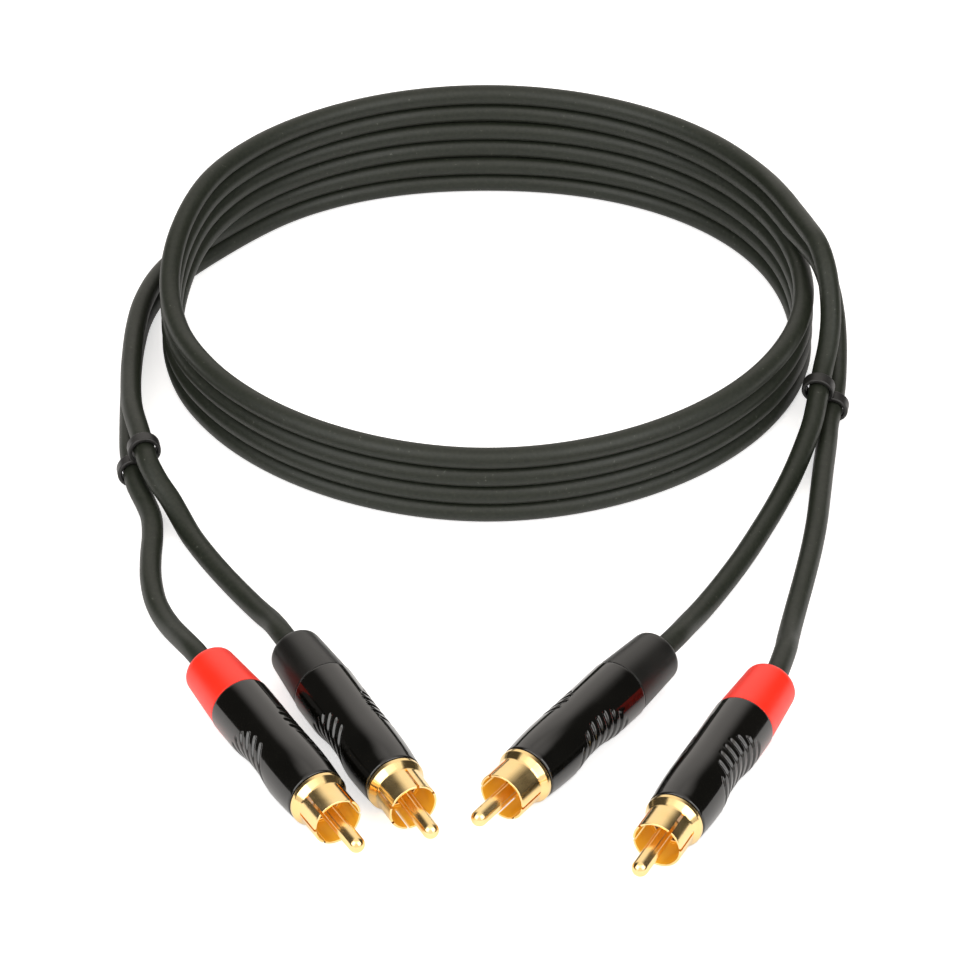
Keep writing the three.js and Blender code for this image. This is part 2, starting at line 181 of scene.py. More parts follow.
def ramp(material, source, stops):
    node = material.node_tree.nodes.new("ShaderNodeValToRGB")
    while len(node.color_ramp.elements) < len(stops):
        node.color_ramp.elements.new(0.5)
    for element, (position, colour) in zip(node.color_ramp.elements, stops):
        element.position = position
        element.color = (*colour, 1)
    material.node_tree.links.new(source, node.inputs["Fac"])
    return node


def bump(material, shader, source, strength, distance):
    node = material.node_tree.nodes.new("ShaderNodeBump")
    node.inputs["Strength"].default_value = strength
    node.inputs["Distance"].default_value = distance
    material.node_tree.links.new(source, node.inputs["Height"])
    material.node_tree.links.new(node.outputs["Normal"], shader.inputs["Normal"])


def grained(name, colour, roughness, spread, grain, grain_depth, metallic=0.0):
    """A surface whose roughness drifts a little, with a fine grain."""
    material, shader = principled(name, colour, sum(roughness) / 2, metallic)
    drift = noise(material, spread)
    low, high = ((r, r, r) for r in roughness)
    rough = ramp(material, drift.outputs["Fac"], [(0.3, low), (0.7, high)])
    material.node_tree.links.new(rough.outputs["Color"], shader.inputs["Roughness"])
    fine = noise(material, grain, 2.0)
    bump(material, shader, fine.outputs["Fac"], 0.35, grain_depth)
    return material, shader, drift


def varied(name, dark, light, roughness, spread, grain, grain_depth, metallic=0.0):
    """A grained surface whose colour drifts with its roughness."""
    material, shader, drift = grained(name, light, roughness, spread, grain, grain_depth, metallic)
    colour = ramp(material, drift.outputs["Fac"], [(0.3, dark), (0.7, light)])
    material.node_tree.links.new(colour.outputs["Color"], shader.inputs["Base Color"])
    return material, shader


def jacket_material():
    """Matte soft plastic with a fine mottle and a few paler specks."""
    material, shader, _ = grained("jacket", JACKET_LIGHT, (0.40, 0.50), 60, 5200, 0.00003)
    shader.inputs["Specular IOR Level"].default_value = 0.37
    mottle = noise(material, 1300, 4.0)
    stops = [(0.36, JACKET_DARK), (0.64, JACKET_LIGHT), (0.70, JACKET_SPECK_EDGE), (0.73, JACKET_SPECK)]
    spotted = ramp(material, mottle.outputs["Fac"], stops)
    material.node_tree.links.new(spotted.outputs["Color"], shader.inputs["Base Color"])
    return material


def red_boot_material():
    material, shader = varied(
        "red_boot", (0.95, 0.018, 0.004), (1.0, 0.023, 0.006), (0.34, 0.42), 90, 4200, 0.00002
    )
    shader.inputs["Specular IOR Level"].default_value = 0.6
    return material


def black_boot_material():
    material, shader = varied(
        "black_boot", (0.003, 0.003, 0.0024), (0.005, 0.005, 0.004), (0.31, 0.39), 90, 4200, 0.00002
    )
    shader.inputs["Specular IOR Level"].default_value = 0.6
    return material


def housing_material():
    material, shader = varied(
        "housing", (0.0012, 0.0012, 0.0008), (0.0024, 0.0023, 0.0016), (0.08, 0.14), 140, 900, 0.00001
    )
    shader.inputs["Specular IOR Level"].default_value = 0.6
    shader.inputs["Coat Weight"].default_value = 0.3
    shader.inputs["Coat Roughness"].default_value = 0.06
    return material


def mixed_inside(material, shader, name, inside, value):
    """Changes one of the shader's inputs to this value where a face is inside a shell."""
    links = material.node_tree.links
    node = material.node_tree.nodes.new("ShaderNodeMixRGB")
    node.inputs["Color2"].default_value = value
    links.new(inside, node.inputs["Fac"])
    links.new(shader.inputs[name].links[0].from_socket, node.inputs["Color1"])
    links.new(node.outputs["Color"], shader.inputs[name])


def gold_material():
    """Gold plate on turned brass: the fine turning marks spread a reflection along the plug's axis.
    Inside the shells the plate is satin, and its deeper orange there, made partly matte by less metal,
    is painted light bounced round inside the shell."""
    material, shader = varied(
        "gold_plate", (0.98, 0.69, 0.30), (1.0, 0.75, 0.37), (0.14, 0.21), 220, 2400, 0.000006, 1.0
    )
    shader.inputs["Anisotropic"].default_value = 0.75
    nodes, links = material.node_tree.nodes, material.node_tree.links
    axis = nodes.new("ShaderNodeTangent")
    axis.direction_type = "UV_MAP"
    axis.uv_map = AXIS_MAP
    links.new(axis.outputs["Tangent"], shader.inputs["Tangent"])
    place = nodes.new("ShaderNodeUVMap")
    place.uv_map = AXIS_MAP
    parts = nodes.new("ShaderNodeSeparateXYZ")
    links.new(place.outputs["UV"], parts.inputs["Vector"])
    inside = nodes.new("ShaderNodeMath")
    inside.operation = "GREATER_THAN"
    inside.inputs[1].default_value = INSIDE_FROM
    links.new(parts.outputs["X"], inside.inputs[0])
    # painted light bounced round inside the shell, as a deeper orange on its inner wall
    mixed_inside(material, shader, "Base Color", inside.outputs[0], (*INSIDE_PAINTED_BOUNCE_GOLD, 1))
    mixed_inside(material, shader, "Roughness", inside.outputs[0], (*[INSIDE_ROUGH] * 3, 1))
    metallic = nodes.new("ShaderNodeMath")
    metallic.operation = "MULTIPLY_ADD"
    metallic.inputs[1].default_value = INSIDE_METALLIC - 1
    metallic.inputs[2].default_value = 1
    links.new(inside.outputs[0], metallic.inputs[0])
    links.new(metallic.outputs[0], shader.inputs["Metallic"])
    return material


def insulator_material():
    material, _ = varied(
        "insulator", (0.84, 0.81, 0.74), (0.90, 0.88, 0.82), (0.40, 0.55), 150, 3000, 0.00001
    )
    return material


def clip_material():
    material, _ = varied(
        "clip", (0.008, 0.008, 0.008), (0.014, 0.014, 0.013), (0.32, 0.45), 200, 2600, 0.00002
    )
    return material


def clamp_material():
    material, _ = varied(
        "clamp", (0.010, 0.010, 0.010), (0.020, 0.020, 0.019), (0.45, 0.60), 200, 2600, 0.00002
    )
    return material


MATERIALS = {
    "jacket": jacket_material(),
    "red_boot": red_boot_material(),
    "black_boot": black_boot_material(),
    "housing": housing_material(),
    "contact": gold_material(),
    "insulator": insulator_material(),
    "clip": clip_material(),
    "clamp": clamp_material(),
}


# Meshes


def piece(name, vertices, faces, slot, nodes):
    """A smooth mesh that takes the place of these CAD nodes."""
    mesh = bpy.data.meshes.new(name)
    mesh.from_pydata([tuple(v) for v in vertices], [], faces)
    mesh.validate()
    mesh.polygons.foreach_set("use_smooth", [True] * len(mesh.polygons))
    mesh.materials.append(MATERIALS[slot])
    made = bpy.data.objects.new(name, mesh)
    bpy.context.scene.collection.objects.link(made)
    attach(made, "root")
    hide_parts(*nodes)
    return made


def inside_shell(corners):
    """Whether a face with these corners, in a plug's own frame, is on the shell's inner wall."""
    low, high = INSIDE_RADII
    return all(low < math.hypot(x, y) < high and z > SHELL_BOTTOM_AT - 0.1 for x, y, z in corners)


def map_axis(made, local):
    """A map whose first direction runs along the plug's axis and whose second runs round it."""
    layer = made.data.uv_layers.new(name=AXIS_MAP)
    for face in made.data.polygons:
        corners = [local[v] for v in face.vertices]
        shift = INSIDE_SHIFT if inside_shell(corners) else 0
        first = math.atan2(corners[0][0], corners[0][1])
        for i, (x, y, along) in zip(face.loop_indices, corners):
            turn = math.atan2(x, y)
            if turn - first > math.pi:
                turn -= 2 * math.pi
            if first - turn > math.pi:
                turn += 2 * math.pi
            layer.data[i].uv = (along / MAP_LENGTH + shift, turn / MAP_TURN + 0.5)


def smooth_line(points, step):
    """A centripetal curve through the points, cut into even steps."""
    points = [Vector(p) for p in points]
    ends = [2 * points[0] - points[1], *points, 2 * points[-1] - points[-2]]
    fine = []
    for a, b, c, d in zip(ends, ends[1:], ends[2:], ends[3:]):
        before, between, after = ((q - p).length ** 0.5 for p, q in ((a, b), (b, c), (c, d)))
        out = (b - a) / before - (c - a) / (before + between) + (c - b) / between
        into = (c - b) / between - (d - b) / (between + after) + (d - c) / after
        handle = between / 3
        fine += interpolate_bezier(b, b + out * handle, c - into * handle, c, 24)[:-1]
    fine.append(points[-1])
    return even_steps(fine, step)


def even_steps(line, step):
    lengths = [0.0]
    for p, q in zip(line, line[1:]):
        lengths.append(lengths[-1] + (q - p).length)
    count = max(2, round(lengths[-1] / step))
    made = []
    j = 0
    for i in range(count + 1):
        at = lengths[-1] * i / count
        while j < len(line) - 2 and lengths[j + 1] < at:
            j += 1
        span = lengths[j + 1] - lengths[j]
        made.append(line[j].lerp(line[j + 1], (at - lengths[j]) / span if span else 0))
    return made


def sides_along(line, up=Vector((0, 0, 1))):
    """For each point, two directions across the line that don't twist along it."""
    frames = []
    across = None
    for i, point in enumerate(line):
        ahead = (line[min(i + 1, len(line) - 1)] - line[max(i - 1, 0)]).normalized()
        if across is None:
            across = ahead.cross(up).normalized()
        across = (across - ahead * across.dot(ahead)).normalized()
        frames.append((across, ahead.cross(across)))
    return frames


def tube(line, radius, sides):
    vertices, faces = [], []
    for point, (across, over) in zip(line, sides_along(line)):
        for k in range(sides):
            angle = 2 * math.pi * k / sides
            vertices.append(point + radius * (math.cos(angle) * across + math.sin(angle) * over))
    for i in range(len(line) - 1):
        for k in range(sides):
            a, b = i * sides + k, i * sides + (k + 1) % sides
            faces.append((a, b, b + sides, a + sides))
    last = (len(line) - 1) * sides
    faces.append(tuple(range(sides))[::-1])
    faces.append(tuple(last + k for k in range(sides)))
    return vertices, faces


# Leads


def superoval(angle, half_depth, squareness):
    c, s = math.cos(angle), math.sin(angle)
    power = 2 / squareness
    x = COIL_HALF_WIDTH * math.copysign(abs(c) ** power, c)
    y = half_depth * math.copysign(abs(s) ** power, s)
    return COIL_CENTRE[0] + x, COIL_CENTRE[1] + y


def coil_points(top):
    """A lead's way round the coil: back, front, back, front, back, lower by a pair each time it passes
    the left wall."""
    points = []
    for degrees in range(COIL_START, COIL_END + 1, COIL_STEP):
        half_depth, squareness = PASSES[min(degrees // 180, len(PASSES) - 1)]
        x, y = superoval(math.radians(degrees), half_depth, squareness)
        z = top
        for turn in (0, 360):
            t = min(1, max(0, (degrees - turn - DOWN_FROM) / (DOWN_TO - DOWN_FROM)))
            z -= STEP_DOWN * t * t * (3 - 2 * t)
        points.append((x, y, z))
    return points


def heading(plug):
    angle = math.radians(PLUGS[plug][2])
    return Vector((math.sin(angle), -math.cos(angle), 0))


def along_plug(plug, metres):
    x, y = PLUGS[plug][1]
    return Vector((x, y, AXIS_HEIGHT)) + heading(plug) * metres


def into_plug(plug):
    """A lead's way through the boot into its plug, and the straight bit behind the boot."""
    inside = [along_plug(plug, at) for at in (BOOT_BACK, BOOT_MIDDLE, 0.0, LEAD_END)]
    return inside if plug == BENT_AT_BOOT else [along_plug(plug, LEAD_STRAIGHT_FROM), *inside]


def make_lead(name, colour, top):
    right, left = "right_" + colour, "left_" + colour
    route = into_plug(right)[::-1] + TAILS[right][::-1] + coil_points(top)
    route += TAILS[left] + into_plug(left)
    line = smooth_line(route, LEAD_STEP)
    vertices, faces = tube(line, LEAD_DIAMETER / 2, LEAD_SIDES)
    nodes = ("coiled_leads", right + "_lead", left + "_lead")
    made = piece(name, vertices, faces, "jacket", nodes)


# Camera

CAMERA_AT = Vector((-0.0015, -0.6102, 0.4901))
CAMERA_AIM = Vector((-0.0015, 0.0522, 0))
CAMERA_LENS = 150

camera = bpy.data.objects.new("camera", bpy.data.cameras.new("camera"))
camera.data.lens = CAMERA_LENS
camera.data.sensor_width = 36
camera.location = CAMERA_AT
aim = CAMERA_AIM - CAMERA_AT
camera.rotation_mode = "QUATERNION"
camera.rotation_quaternion = aim.to_track_quat("-Z", "Y")
bpy.context.scene.collection.objects.link(camera)
bpy.context.scene.camera = camera

make_lead("black_lead", "black", UPPER_TOP)
make_lead("red_lead", "red", LOWER_TOP)


# Plugs


def placed(plug, vertices):
    """From a plug's own millimetres (side, top, along) to the row frame."""
    ahead = heading(plug)
    side = Vector((-ahead.y, ahead.x, 0))
    origin = along_plug(plug, 0)
    up = Vector((0, 0, 1))
    return [origin + (side * x + up * y + ahead * z) * MM for x, y, z in vertices]


def fillet(section, radii, steps=4):
    """Rounds the corners of a section of (along, radius) points, with a support point on either side."""
    points = [Vector(p) for p in section]
    made = [tuple(points[0])]
    for before, corner, after, radius in zip(points, points[1:], points[2:], radii):
        if radius == 0:
            made.append(tuple(corner))
            continue
        a = (before - corner).normalized()
        b = (after - corner).normalized()
        made.append(tuple(corner + a * radius * 1.5))
        for i in range(steps + 1):
            t = i / steps
            p, q = corner + a * radius, corner + b * radius
            made.append(tuple(p * (1 - t) ** 2 + corner * 2 * t * (1 - t) + q * t * t))
        made.append(tuple(corner + b * radius * 1.5))
    made.append(tuple(points[-1]))
    return made


def turned(section, corners, form=None, closed=False):
    """A turned form. The form function may move a point in or out, given its place and angle."""
    vertices, faces = [], []
    for along, radius in section:
        for k in range(corners):
            angle = 2 * math.pi * k / corners
            r = radius if form is None else radius + form(along, angle, radius)
            vertices.append((r * math.sin(angle), r * math.cos(angle), along))
    rows = len(section)
    for i in range(rows if closed else rows - 1):
        for k in range(corners):
            a, b = i * corners + k, i * corners + (k + 1) % corners
            j = (i + 1) % rows * corners
            faces.append((a, j + k, j + (k + 1) % corners, b))
    return vertices, faces


HOUSING_OUTSIDE = [
    (0.15, 6.1), (0.25, 6.15), (1.0, 6.17), (4.0, 6.15), (8.0, 6.11), (12.0, 6.09), (16.0, 6.12),
    (20.0, 6.17), (23.0, 6.14), (26.0, 6.02), (29.0, 5.8), (30.05, 5.7), (30.2, 5.62), (30.25, 5.45),
]
HOUSING_BORE = 4.7
HOUSING_INSIDE = [
    (30.25, HOUSING_BORE + 0.1), (30.1, HOUSING_BORE), (0.3, HOUSING_BORE), (0.15, HOUSING_BORE + 0.1),
]
HOUSING_CORNERS = 192
HOUSING_STEP = 0.16
# Grip on each flank, left and right: first groove, pitch, count, lean, middle and reach along the plug
GRIPS = ((4.6, 2.35, 7, 5.6, 15.0, 6.3), (5.2, 2.1, 8, 1.5, 13.8, 7.5))
# in degrees from the middle of the smooth strip
GRIP_TOP = 30  # where the middle grooves begin
GRIP_DROP = 45  # by which the outermost begin further down
GRIP_END = 124
GRIP_FADE_IN, GRIP_FADE_OUT = 6, 12
LEAN_OVER = 80  # over which a groove comes forward by its lean
WAIST_FROM, WAIST_FULL = 62, 110
# in millimetres
GRIP_WIDTH = 1.15
GRIP_DEPTH = 0.34
GRIP_SPAN = (3, 27)  # the grip and the waist lie within this
OUTER_WALL = 5.6  # nothing nearer the axis belongs to the outer wall
WAIST_DEPTH = 0.66
WAIST_MIDDLE, WAIST_REACH = 15, 6.5
WAIST_FADE = (0.25, 1.2)  # shares of that reach


def smoothstep(low, high, x):
    t = min(1, max(0, (x - low) / (high - low)))
    return t * t * (3 - 2 * t)


def groove_depth(along, turn, flank):
    """From 0 to 1, at a place on a flank."""
    start, pitch, count, lean, middle, reach = flank
    edge = GRIP_TOP + GRIP_DROP * (abs(along - middle) / reach) ** 3
    ends = smoothstep(edge, edge + GRIP_FADE_IN, turn)
    ends *= 1 - smoothstep(GRIP_END, GRIP_END + GRIP_FADE_OUT, turn)
    if ends == 0:
        return 0
    first = start + lean * (turn - GRIP_TOP) / LEAN_OVER
    nearest = min(abs(along - first - i * pitch) for i in range(count))
    return ends * (1 - smoothstep(0.2, 1, nearest / (GRIP_WIDTH / 2)))


def grip_form(strip):
    """Grooves on both flanks, either side of a smooth strip that is rolled from the top, and a waist
    in the lower flanks."""

    def form(along, angle, radius):
        if radius < OUTER_WALL or not GRIP_SPAN[0] < along < GRIP_SPAN[1]:
            return 0
        turn = (math.degrees(angle) - strip + 180) % 360 - 180
        flank = GRIPS[0 if turn < 0 else 1]
        turn = abs(turn)
        waist = smoothstep(WAIST_FROM, WAIST_FULL, turn)
        waist *= 1 - smoothstep(*WAIST_FADE, abs(along - WAIST_MIDDLE) / WAIST_REACH)
        return -WAIST_DEPTH * waist - GRIP_DEPTH * groove_depth(along, turn, flank)

    return form


def resampled(section, step):
    """The section with points added by a smooth curve, no further apart than the step."""
    line = smooth_line([(0, a, r) for a, r in section], step)
    return [(p.y, p.z) for p in line]


def make_housing(plug, strip):
    section = resampled(HOUSING_OUTSIDE, HOUSING_STEP) + HOUSING_INSIDE
    vertices, faces = turned(section, HOUSING_CORNERS, grip_form(strip), closed=True)
    name = plug + "_housing_shell"
    piece(name, placed(plug, vertices), faces, "housing", [plug + "_housing"])


BOOT_BORE = LEAD_DIAMETER / MM / 2 + 0.02
BOOT_SECTION = [
    (-12.6, BOOT_BORE), (-13.1, BOOT_BORE + 0.25), (-13.1, 5.2), (-0.1, 6.02), (-0.1, 4.5), (5.5, 4.5),
    (5.5, BOOT_BORE),
]
BOOT_ROUNDS = [0.2, 1.15, 0.12, 0.1, 0.2]
BOOT_CORNERS = 96


def make_boot(plug, colour):
    vertices, faces = turned(fillet(BOOT_SECTION, BOOT_ROUNDS), BOOT_CORNERS, closed=True)
    name = plug + "_boot_sleeve"
    piece(name, placed(plug, vertices), faces, colour + "_boot", [plug + "_boot"])


FLANGE_AT = 30.55
CONE_AT = 31.35
SHELL_AT = 32.75
RIM_AT = 38.4
SHELL_BOTTOM_AT = 32.25  # inside, in front of the insulator
BARREL_AT = 21.05
BARREL_RADIUS = 4.38
BARREL_BORE = 3.7
FLANGE_RADIUS = 5.65
SHELL_RADIUS = 4.83
SHELL_BORE = 4.38
CONTACT_SECTION = [
    (BARREL_AT, BARREL_RADIUS), (FLANGE_AT, BARREL_RADIUS), (FLANGE_AT, FLANGE_RADIUS),
    (CONE_AT, FLANGE_RADIUS), (SHELL_AT, SHELL_RADIUS), (RIM_AT, SHELL_RADIUS), (RIM_AT, SHELL_BORE),
    (SHELL_BOTTOM_AT, SHELL_BORE), (SHELL_BOTTOM_AT, BARREL_BORE), (BARREL_AT, BARREL_BORE),
]
CONTACT_CORNERS = 96
CONTACT_BEVEL = 0.05
CONTACT_ROUNDS = [0.05, 0.15, 0.1, 0.25, 0.13, 0.13, 0.1, 0.1]
SAW_WIDTH = 0.55
SAW_ANGLES = (-142, -90, -43, 38, 89)
SAW_ROOT_AT = 32.85
TAG_WIDTH = 4.2
TAG_FROM, TAG_TO = 15.55, BARREL_AT + 0.3
TAG_RADII = (BARREL_RADIUS - 0.02, BARREL_BORE + 0.02)
TAG_STEPS = 10


def box_mesh(size, centre, roll):
    """A box in a plug's own frame, rolled about its axis from the top toward the side."""
    made = bmesh.new()
    bmesh.ops.create_cube(made, size=1)
    bmesh.ops.scale(made, vec=size, verts=made.verts)
    bmesh.ops.translate(made, vec=centre, verts=made.verts)
    turn = Matrix.Rotation(-math.radians(roll), 3, "Z")
    bmesh.ops.rotate(made, cent=(0, 0, 0), matrix=turn, verts=made.verts)
    return made


def temporary(name, vertices, faces):
    mesh = bpy.data.meshes.new(name)
    mesh.from_pydata([tuple(v) for v in vertices], [], faces)
    made = bpy.data.objects.new(name, mesh)
    bpy.context.scene.collection.objects.link(made)
    return made


def cutter_object(boxes):
    joined = bmesh.new()
    for box in boxes:
        mesh = bpy.data.meshes.new("cutter")
        box.to_mesh(mesh)
        joined.from_mesh(mesh)
        box.free()
        bpy.data.meshes.remove(mesh)
    mesh = bpy.data.meshes.new("cutters")
    joined.to_mesh(mesh)
    joined.free()
    made = bpy.data.objects.new("cutters", mesh)
    bpy.context.scene.collection.objects.link(made)
    return made


def drop(*objects):
    for made in objects:
        mesh = made.data
        bpy.data.objects.remove(made)
        bpy.data.meshes.remove(mesh)


def evaluated(made):
    """The object's vertices and faces with its modifiers applied."""
    bpy.context.view_layer.update()
    shown = made.evaluated_get(bpy.context.evaluated_depsgraph_get())
    mesh = shown.to_mesh()
    vertices = [tuple(v.co) for v in mesh.vertices]
    faces = [tuple(f.vertices) for f in mesh.polygons]
    shown.to_mesh_clear()
    return vertices, faces


def contact_mesh():
    """The turned contact with its saw cuts, edges broken, and the solder tag behind its barrel."""
    section = fillet(CONTACT_SECTION, CONTACT_ROUNDS)
    body = temporary("contact_body", *turned(section, CONTACT_CORNERS, closed=True))
    size = (SAW_WIDTH, 10, RIM_AT - SAW_ROOT_AT + 1)
    middle = (0, size[1] / 2, SAW_ROOT_AT + size[2] / 2)
    cutters = cutter_object([box_mesh(size, middle, angle) for angle in SAW_ANGLES])
    cut = body.modifiers.new("cut", "BOOLEAN")
    cut.operation = "DIFFERENCE"
    cut.solver = "EXACT"
    cut.use_self = True
    cut.object = cutters
    bevel = body.modifiers.new("bevel", "BEVEL")
    bevel.width = CONTACT_BEVEL
    bevel.segments = 2
    bevel.limit_method = "ANGLE"
    bevel.angle_limit = math.radians(50)
    vertices, faces = evaluated(body)
    drop(body, cutters)
    tag_vertices, tag_faces = tag_mesh()
    faces += [tuple(i + len(vertices) for i in face) for face in tag_faces]
    return vertices + tag_vertices, faces


def tag_mesh():
    """A strip of the barrel's wall that runs on behind it."""
    vertices, faces = [], []
    reach = math.asin(TAG_WIDTH / 2 / BARREL_RADIUS)
    for along in (TAG_FROM, TAG_TO):
        for radius in TAG_RADII:
            for i in range(TAG_STEPS + 1):
                angle = math.pi + reach * (2 * i / TAG_STEPS - 1)
                vertices.append((radius * math.sin(angle), radius * math.cos(angle), along))
    last = TAG_STEPS
    row = last + 1
    for i in range(last):
        faces.append((i, i + 1, 2 * row + i + 1, 2 * row + i))
        faces.append((row + i + 1, row + i, 3 * row + i, 3 * row + i + 1))
        faces.append((i + 1, i, row + i, row + i + 1))
        faces.append((2 * row + i, 2 * row + i + 1, 3 * row + i + 1, 3 * row + i))
    faces.append((0, 2 * row, 3 * row, row))
    faces.append((last, row + last, 3 * row + last, 2 * row + last))
    return vertices, faces


def rolled(vertices, degrees):
    c, s = math.cos(math.radians(degrees)), math.sin(math.radians(degrees))
    return [(x * c + y * s, -x * s + y * c, z) for x, y, z in vertices]


CONTACT_VERTICES, CONTACT_FACES = contact_mesh()


def make_contact(plug, roll):
    vertices = placed(plug, rolled(CONTACT_VERTICES, roll))
    made = piece(plug + "_shell", vertices, CONTACT_FACES, "contact", [plug + "_outer_contact"])
    map_axis(made, CONTACT_VERTICES)
    made.modifiers.new("even_normals", "WEIGHTED_NORMAL").keep_sharp = True


INSULATOR_BACK, INSULATOR_FRONT = 24.05, SHELL_BOTTOM_AT - 0.3
INSULATOR_BORE, INSULATOR_RADIUS = 1.4, 3.4
INSULATOR_SECTION = [
    (INSULATOR_BACK, INSULATOR_BORE), (INSULATOR_BACK, INSULATOR_RADIUS),
    (INSULATOR_FRONT, INSULATOR_RADIUS), (INSULATOR_FRONT, INSULATOR_BORE),
    (INSULATOR_BACK, INSULATOR_BORE),
]
INSULATOR_ROUNDS = [0.1, 0.25, 0.2]
INSULATOR_CORNERS = 64


def make_insulator(plug):
    section = fillet(INSULATOR_SECTION, INSULATOR_ROUNDS, 3)
    vertices, faces = turned(section, INSULATOR_CORNERS)
    name = plug + "_insulator_disc"
    piece(name, placed(plug, vertices), faces, "insulator", [plug + "_insulator"])


PIN_RADIUS = 1.6
PIN_STEM = 1.1
PIN_SECTION = [
    (22.65, 0.0), (22.65, 0.65), (20.05, 0.65), (20.05, PIN_STEM), (23.25, PIN_STEM),
    (23.25, PIN_RADIUS), (23.75, PIN_RADIUS), (23.75, PIN_STEM), (SHELL_BOTTOM_AT, PIN_STEM),
    (SHELL_BOTTOM_AT, PIN_RADIUS), (44.9, PIN_RADIUS), (45.4, PIN_RADIUS),
]
PIN_ROUNDS = [0.05, 0.05, 0.05, 0.05, 0.05, 0.05, 0.05, 0.05, 0.12, 0]
PIN_TIP_AT = 47.0
PIN_CORNERS = 48


def make_pin(plug):
    """The pin with its round tip, and behind the insulator a ring and a solder cup."""
    tip = []
    for degrees in range(9, 90, 9):
        angle = math.radians(degrees)
        along = PIN_TIP_AT - PIN_RADIUS + PIN_RADIUS * math.sin(angle)
        tip.append((along, PIN_RADIUS * math.cos(angle)))
    section = fillet(PIN_SECTION, PIN_ROUNDS, 2) + tip + [(PIN_TIP_AT, 0.02)]
    vertices, faces = turned(section, PIN_CORNERS)
    made = piece(plug + "_pin", placed(plug, vertices), faces, "contact", [plug + "_centre_pin"])
    map_axis(made, vertices)


def dress_clamp(plug):
    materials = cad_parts[plug + "_cable_clamp"].data.materials
    materials.clear()
    materials.append(MATERIALS["clamp"])


for plug, (colour, _, _, strip, roll) in PLUGS.items():
    make_housing(plug, strip)
    make_boot(plug, colour)
    make_contact(plug, roll)
    make_insulator(plug)
    make_pin(plug)
    dress_clamp(plug)


# Clips


def clip_outline(rise, lean):
    """A figure of eight round the two bores, in the order of its edge."""
    outer = CLIP_OUTER / 2
    to_upper = math.atan2(rise, lean)
    waist = math.acos(CLIP_PITCH / 2 / outer)
    outline = []
    for (x, y), start in (((0, 0), to_upper), ((lean, rise), to_upper - math.pi)):
        for i in range(CLIP_SIDES + 1):
            angle = start + waist + (2 * math.pi - 2 * waist) * i / CLIP_SIDES
            outline.append((x + outer * math.cos(angle), y + outer * math.sin(angle)))
    return outline


def clip_bore(x, y):
    turns = [2 * math.pi * i / CLIP_SIDES for i in range(CLIP_SIDES)]
    return [(x + CLIP_BORE / 2 * math.cos(a), y + CLIP_BORE / 2 * math.sin(a)) for a in turns]


def spline(curve, points):
    made = curve.splines.new("POLY")
    made.points.add(len(points) - 1)
    for point, (x, y) in zip(made.points, points):
        point.co = (x, y, 0, 1)
    made.use_cyclic_u = True


def clip_mesh(name, lean):
    """The rings lying flat, with round edges."""
    rise = math.sqrt(CLIP_PITCH**2 - lean**2)
    curve = bpy.data.curves.new(name + "_outline", "CURVE")
    curve.dimensions = "2D"
    curve.fill_mode = "BOTH"
    curve.extrude = CLIP_LENGTH / 2 - CLIP_ROUND
    curve.bevel_depth = CLIP_ROUND
    curve.bevel_resolution = 3
    curve.offset = -CLIP_ROUND
    spline(curve, clip_outline(rise, lean))
    spline(curve, clip_bore(0, 0))
    spline(curve, clip_bore(lean, rise))
    shape = bpy.data.objects.new(name + "_outline", curve)
    bpy.context.scene.collection.objects.link(shape)
    vertices, faces = evaluated(shape)
    bpy.data.objects.remove(shape)
    bpy.data.curves.remove(curve)
    return vertices, faces


def make_clip(name, at, degrees, pitch, lean):
    vertices, faces = clip_mesh(name, lean)
    tilt = math.radians(pitch)
    height = CLIP_OUTER / 2 * math.cos(tilt) + CLIP_LENGTH / 2 * math.sin(tilt)
    stood_up = Matrix.Rotation(math.pi / 2 + tilt, 3, "X")
    turn = Matrix.Rotation(math.radians(degrees), 3, "Z") @ stood_up
    origin = Vector((at[0], at[1], height * MM))
    vertices = [origin + turn @ Vector(v) * MM for v in vertices]
    made = piece(name + "_rings", vertices, faces, "clip", [name])
    made.modifiers.new("even_normals", "WEIGHTED_NORMAL")


for name, (at, degrees, pitch, lean) in CLIPS.items():
    make_clip(name, at, degrees, pitch, lean)


# Floor, backdrop and light

FLOOR_HALF = 6
FLOOR_COLOUR = (0.86, 0.86, 0.86)
FLOOR_WHITE = 0.6  # glow to the camera
FLOOR_GLOW = 0.15  # in reflections
ROOM_LIGHT = 0.06
STUDIO_TINT = (1.0, 0.945, 0.89)
# soft round patches of light: azimuth, rise, full within and gone beyond in degrees, level
WALL = (0, 20, 18, 46, 1.05)
CEILING = (0, 90, 28, 43, 1.0)
FRONT = (180, 20, 40, 70, 0.95)
# two square lamps in front: azimuth and rise in degrees, distance, size, power
SOFTBOXES = {
    "left_softbox": (-127, 38, 1.25, 1.0, 7.6),
    "right_softbox": (127, 38, 1.25, 1.0, 7.6),
}


def seen(nodes, links, *rays):
    """1 for any of these kinds of ray, 0 for the rest."""
    path = nodes.new("ShaderNodeLightPath")
    value = path.outputs[rays[0]]
    for ray in rays[1:]:
        either = nodes.new("ShaderNodeMath")
        either.operation = "MAXIMUM"
        links.new(value, either.inputs[0])
        links.new(path.outputs[ray], either.inputs[1])
        value = either.outputs[0]
    return value


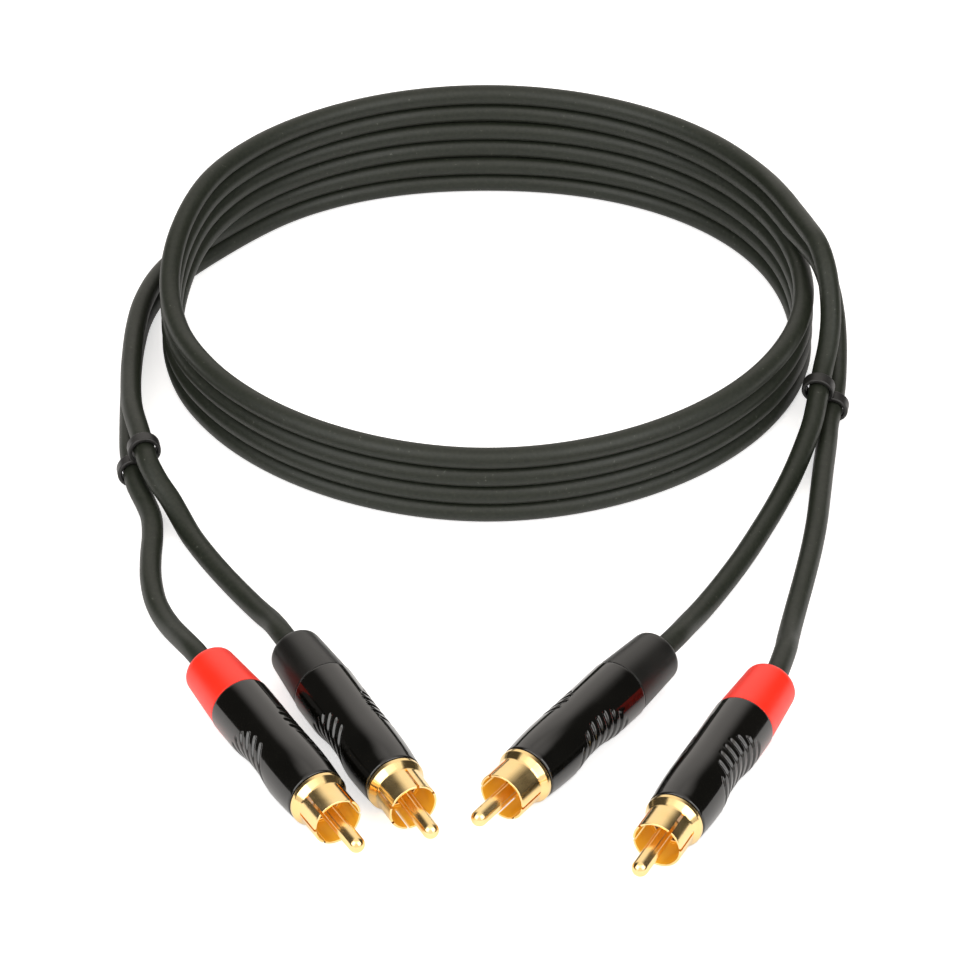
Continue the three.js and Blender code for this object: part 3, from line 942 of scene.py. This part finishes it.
def white_floor():
    """White paper that also glows a little where it is seen, and keeps the cable's shadow."""
    material, shader = principled("floor_white", FLOOR_COLOUR, 0.9)
    shader.inputs["Specular IOR Level"].default_value = 0.2
    nodes, links = material.node_tree.nodes, material.node_tree.links
    glow = nodes.new("ShaderNodeEmission")
    strength = nodes.new("ShaderNodeMath")
    strength.operation = "MULTIPLY_ADD"
    strength.inputs[1].default_value = FLOOR_WHITE - FLOOR_GLOW
    strength.inputs[2].default_value = FLOOR_GLOW
    links.new(seen(nodes, links, "Is Camera Ray"), strength.inputs[0])
    links.new(strength.outputs[0], glow.inputs["Strength"])
    added = nodes.new("ShaderNodeAddShader")
    mixed = nodes.new("ShaderNodeMixShader")
    links.new(shader.outputs[0], added.inputs[0])
    links.new(glow.outputs[0], added.inputs[1])
    looked_at = seen(nodes, links, "Is Camera Ray", "Is Glossy Ray", "Is Transmission Ray")
    links.new(looked_at, mixed.inputs["Fac"])
    links.new(shader.outputs[0], mixed.inputs[1])
    links.new(added.outputs[0], mixed.inputs[2])
    links.new(mixed.outputs[0], nodes["Material Output"].inputs["Surface"])
    return material


def make_floor():
    mesh = bpy.data.meshes.new("floor")
    corners = [(-1, -1), (1, -1), (1, 1), (-1, 1)]
    mesh.from_pydata([(x * FLOOR_HALF, y * FLOOR_HALF, 0) for x, y in corners], [], [(0, 1, 2, 3)])
    mesh.materials.append(white_floor())
    floor = bpy.data.objects.new("floor", mesh)
    bpy.context.scene.collection.objects.link(floor)


def direction(azimuth, rise):
    """From the plugs: azimuth from +Y toward +X, rise from the floor, in degrees."""
    azimuth, rise = math.radians(azimuth), math.radians(rise)
    flat = math.cos(rise)
    return Vector((math.sin(azimuth) * flat, math.cos(azimuth) * flat, math.sin(rise)))


def patch(nodes, links, azimuth, rise, core, edge, level):
    """A soft round patch of light in the studio: full within the core, gone at the edge."""
    place = nodes.new("ShaderNodeTexCoord")
    toward = nodes.new("ShaderNodeVectorMath")
    toward.operation = "DOT_PRODUCT"
    toward.inputs[1].default_value = direction(azimuth, rise)
    links.new(place.outputs["Generated"], toward.inputs[0])
    fade = nodes.new("ShaderNodeMapRange")
    fade.interpolation_type = "SMOOTHSTEP"
    fade.inputs["From Min"].default_value = math.cos(math.radians(edge))
    fade.inputs["From Max"].default_value = math.cos(math.radians(core))
    fade.inputs["To Max"].default_value = level
    links.new(toward.outputs["Value"], fade.inputs["Value"])
    return fade.outputs["Result"]


def make_world():
    """A dim studio, bright behind, above and in front of the cable, and plain white to the camera."""
    world = bpy.data.worlds.new("studio")
    bpy.context.scene.world = world
    world.use_nodes = True
    nodes, links = world.node_tree.nodes, world.node_tree.links
    total = None
    for sizes in (WALL, CEILING, FRONT):
        add = nodes.new("ShaderNodeMath")
        add.inputs[0].default_value = ROOM_LIGHT
        if total:
            links.new(total, add.inputs[0])
        links.new(patch(nodes, links, *sizes), add.inputs[1])
        total = add.outputs[0]
    studio = nodes["Background"]
    studio.inputs["Color"].default_value = (*STUDIO_TINT, 1)
    links.new(total, studio.inputs["Strength"])
    white = nodes.new("ShaderNodeBackground")
    white.inputs["Color"].default_value = (1, 1, 1, 1)
    mixed = nodes.new("ShaderNodeMixShader")
    links.new(seen(nodes, links, "Is Camera Ray"), mixed.inputs["Fac"])
    links.new(studio.outputs[0], mixed.inputs[1])
    links.new(white.outputs[0], mixed.inputs[2])
    links.new(mixed.outputs[0], nodes["World Output"].inputs["Surface"])


def softbox(name, azimuth, rise, distance, size, watts):
    """A square soft lamp that faces the plugs."""
    away = direction(azimuth, rise)
    light = bpy.data.lights.new(name, "AREA")
    light.shape = "SQUARE"
    light.size = size
    light.energy = watts
    made = bpy.data.objects.new(name, light)
    made.location = away * distance
    made.rotation_mode = "QUATERNION"
    made.rotation_quaternion = (-away).to_track_quat("-Z", "Y")
    bpy.context.scene.collection.objects.link(made)


make_floor()
make_world()
for name, sizes in SOFTBOXES.items():
    softbox(name, *sizes)

bpy.context.scene.view_settings.view_transform = "Standard"
